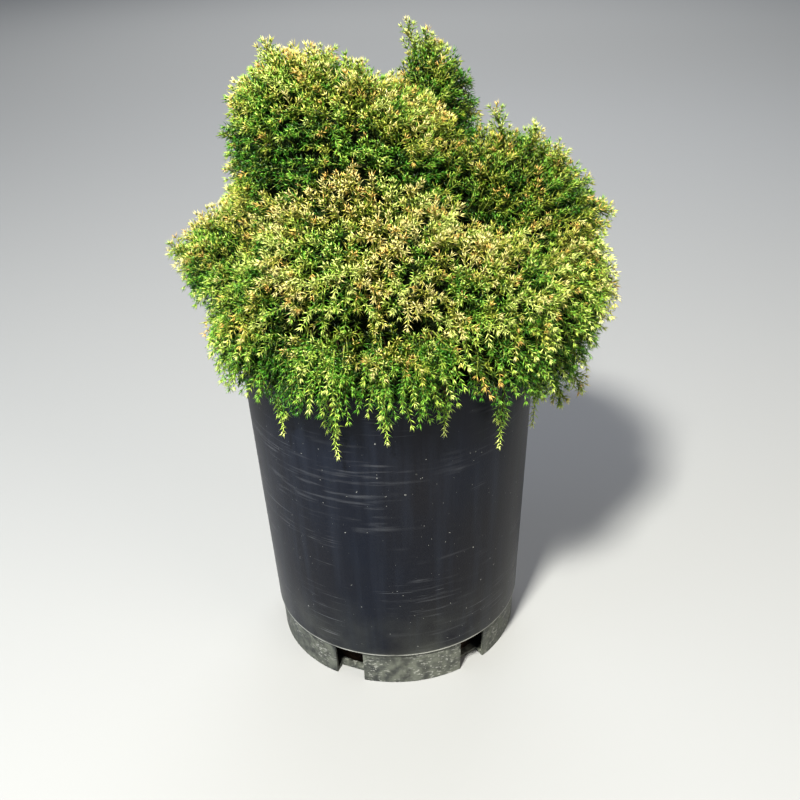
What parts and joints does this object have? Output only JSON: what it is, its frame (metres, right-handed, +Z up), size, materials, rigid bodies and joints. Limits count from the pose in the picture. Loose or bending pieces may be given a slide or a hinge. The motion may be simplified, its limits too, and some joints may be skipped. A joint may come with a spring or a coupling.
{
  "type": "potted dwarf conifer",
  "caption": "Low, lumpy dwarf conifer with short needles in a tall, slightly tapered black nursery pot with drain windows round its foot.",
  "frame": {"origin": "centre of the pot's flat underside, on its axis, at ground level", "axes": "+Z up along the pot's axis, -Y towards the front that the picture shows, +X to the right seen from there"},
  "size_m": [0.306, 0.2807, 0.45],
  "materials": {
    "pot": "satin, scuffed",
    "potting_mix": "rough",
    "bark": "rough",
    "foliage_gold": "matte",
    "foliage_green": "matte",
    "foliage_lime": "matte"
  },
  "bodies": {
    "root": {"pot": "pot", "soil": "potting_mix", "trunk": "bark", "bough_left_dome": "bark", "bough_centre_ridge": "bark", "bough_back_spire": "bark", "bough_right_shoulder": "bark", "bough_front_crown": "bark", "bough_front_left": "bark", "bough_front_right": "bark", "bough_left_wing": "bark", "bough_right_flank": "bark", "bough_back_left": "bark", "bough_back_crown": "bark", "bough_back_right": "bark", "bough_skirt_left": "bark", "bough_skirt_front_left": "bark", "bough_skirt_front": "bark", "bough_skirt_front_mid": "bark", "bough_skirt_front_right": "bark", "bough_skirt_right": "bark", "bough_skirt_back_right": "bark", "bough_skirt_back_left": "bark", "bough_skirt_side_left": "bark", "left_dome": "foliage_gold", "centre_ridge": "foliage_gold", "back_spire": "foliage_green", "right_shoulder": "foliage_gold", "front_crown": "foliage_gold", "front_left": "foliage_green", "front_right": "foliage_gold", "left_wing": "foliage_green", "right_flank": "foliage_lime", "back_left": "foliage_green", "back_crown": "foliage_green", "back_right": "foliage_lime", "skirt_left": "foliage_lime", "skirt_front_left": "foliage_lime", "skirt_front": "foliage_lime", "skirt_front_mid": "foliage_lime", "skirt_front_right": "foliage_lime", "skirt_right": "foliage_lime", "skirt_back_right": "foliage_lime", "skirt_back_left": "foliage_lime", "skirt_side_left": "foliage_lime"}
  },
  "joints": []
}
